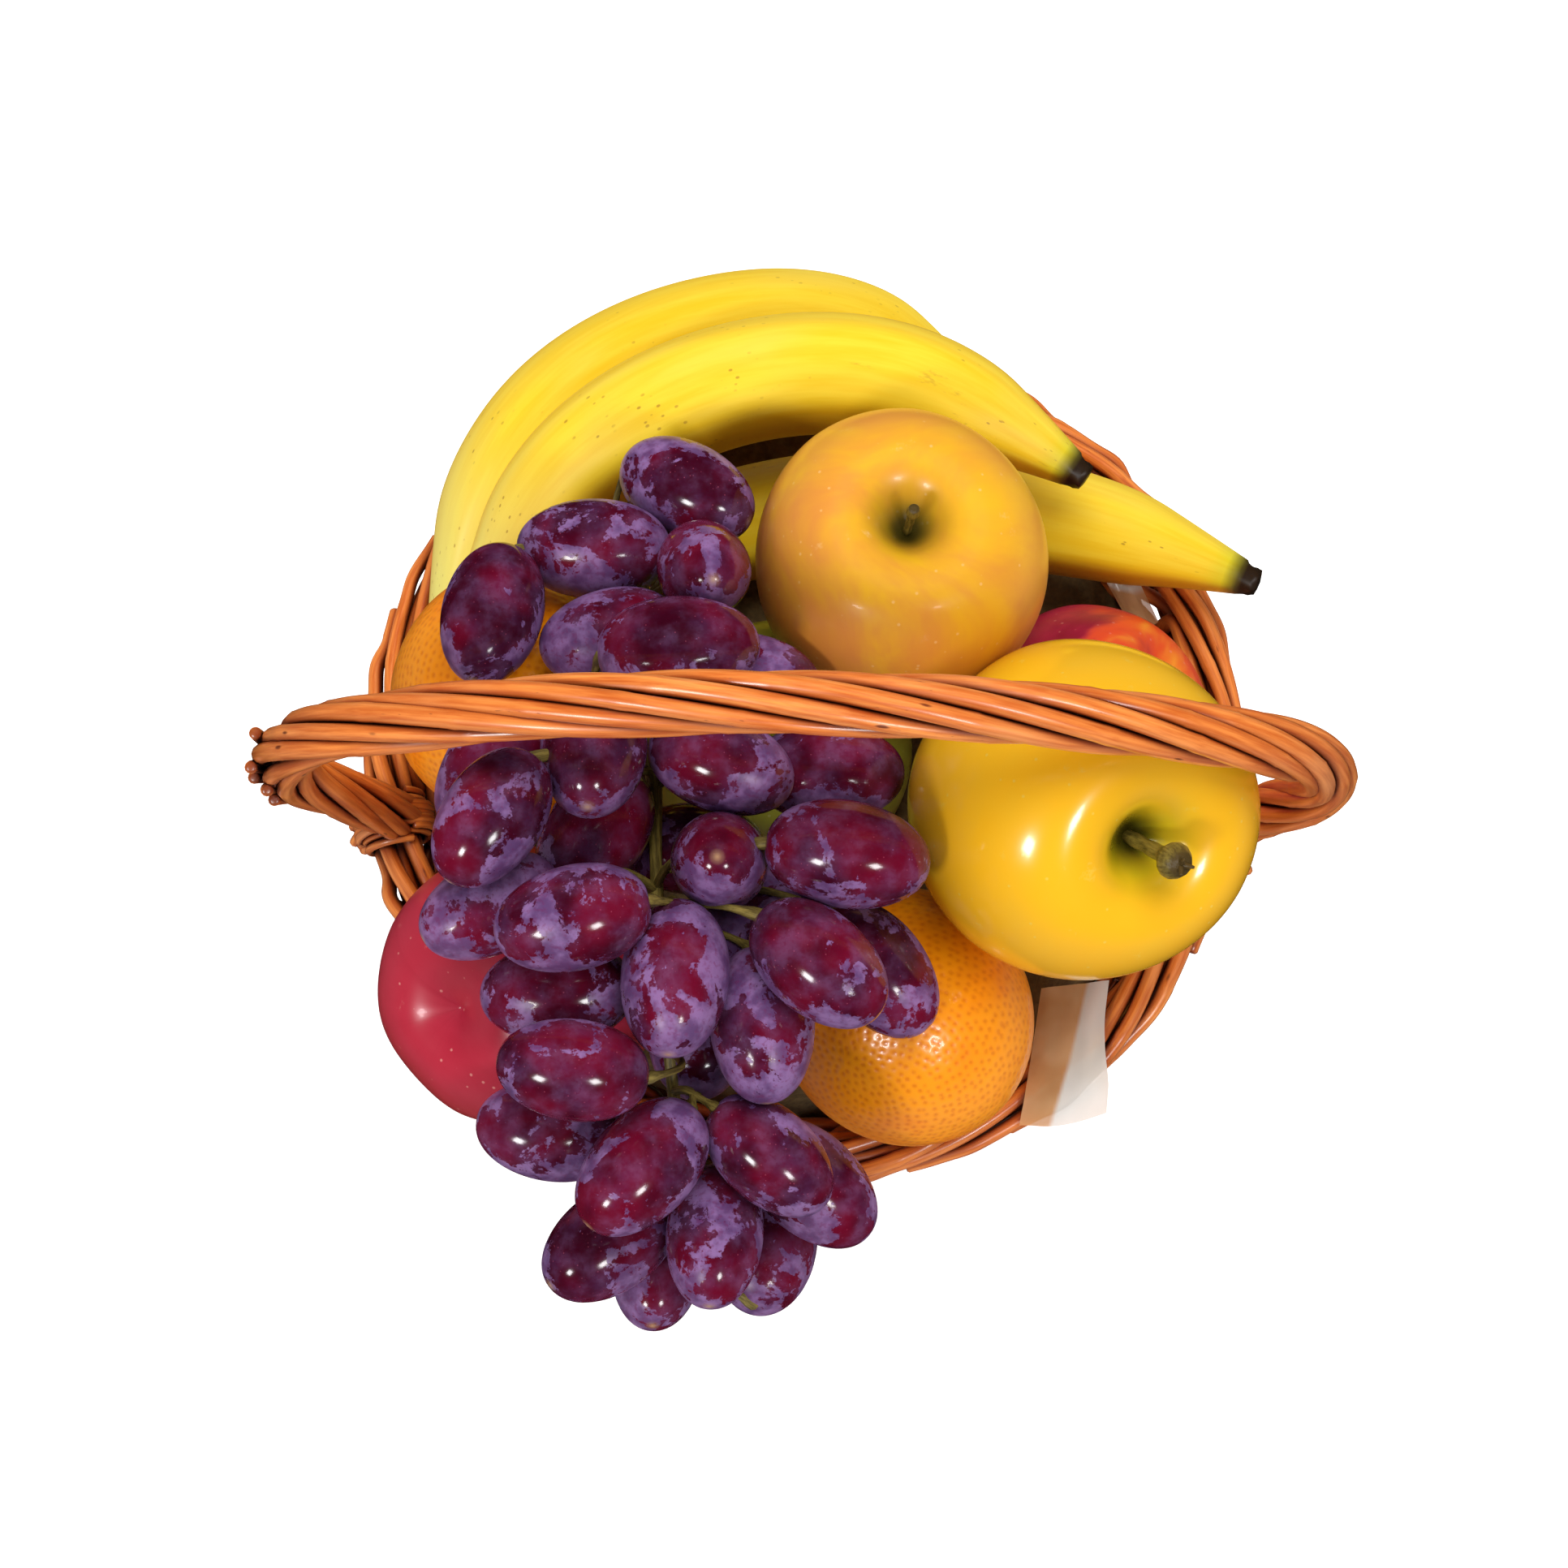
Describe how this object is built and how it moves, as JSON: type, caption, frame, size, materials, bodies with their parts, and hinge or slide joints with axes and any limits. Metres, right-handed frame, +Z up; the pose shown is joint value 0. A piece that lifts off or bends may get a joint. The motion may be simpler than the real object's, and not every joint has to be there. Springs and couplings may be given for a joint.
{
  "type": "woven fruit basket",
  "caption": "Round woven willow basket with a twisted hoop handle, heaped with bananas, apples, oranges, a nectarine and a long bunch of red grapes on paper packing.",
  "frame": {"origin": "on the table, at the basket's axis, in the plane that the foot ring stands on", "axes": "+Z up along the basket's axis; +X to the right along the hoop handle's span; -Y is the front, where the grapes hang over the border"},
  "size_m": [0.2644, 0.2852, 0.2429],
  "materials": {
    "willow": "varnished orange willow, glossy",
    "willow_dark": "varnished willow inside the weave, satin",
    "packing_paper": "crumpled kraft paper, matte",
    "liner_paper": "thin waxed paper, satin",
    "orange_peel": "pitted citrus peel, glossy",
    "red_apple_skin": "smooth waxy skin",
    "nectarine_skin": "smooth skin, satin",
    "green_apple_skin": "smooth waxy skin",
    "gold_apple_skin": "smooth waxy skin",
    "yellow_apple_skin": "smooth waxy skin, glossy",
    "fruit_stalk": "dry stalk, matte",
    "banana_stem": "fibrous stem end, matte",
    "banana_peel": "banana peel, satin",
    "grape_stem": "green woody stalk, matte",
    "grape_skin": "dark red skin with pale bloom"
  },
  "bodies": {
    "basket": {"base_sticks": "willow_dark", "base_weave": "willow", "foot_border": "willow", "lower_wale": "willow", "side_stakes": "willow_dark", "side_weave": "willow", "upper_wale": "willow", "rim_border": "willow", "handle_bow": "willow_dark", "handle_wrap": "willow", "handle_tie_left": "willow", "handle_tie_right": "willow", "paper_filling": "packing_paper", "paper_flap_front": "liner_paper", "paper_flap_back": "liner_paper", "orange_left": "orange_peel", "orange_front": "orange_peel", "apple_red": "red_apple_skin", "nectarine": "nectarine_skin", "apple_middle": "green_apple_skin"},
    "banana_hand": {"banana_crown": "banana_stem", "banana_back": "banana_peel", "banana_middle": "banana_peel", "banana_low": "banana_peel"},
    "top_apple": {"apple_top": "gold_apple_skin", "apple_top_stalk": "fruit_stalk"},
    "front_apple": {"apple_front": "yellow_apple_skin", "apple_front_stalk": "fruit_stalk"},
    "grape_bunch": {"grape_stalks": "grape_stem", "grapes_top": "grape_skin", "grapes_middle": "grape_skin", "grapes_tail": "grape_skin"}
  },
  "joints": [
    {"name": "bananas_lift", "type": "slide", "parent": "basket", "child": "banana_hand", "axis": [0, 0.766, 0.6428], "range_m": [0, 0.12]},
    {"name": "top_apple_lift", "type": "slide", "parent": "basket", "child": "top_apple", "axis": [0, 0, 1], "range_m": [0, 0.1]},
    {"name": "front_apple_lift", "type": "slide", "parent": "basket", "child": "front_apple", "axis": [0.1, -0.9196, 0.3798], "range_m": [0, 0.11]},
    {"name": "grapes_lift", "type": "slide", "parent": "basket", "child": "grape_bunch", "axis": [0, -0.9552, 0.2961], "range_m": [0, 0.11]}
  ]
}
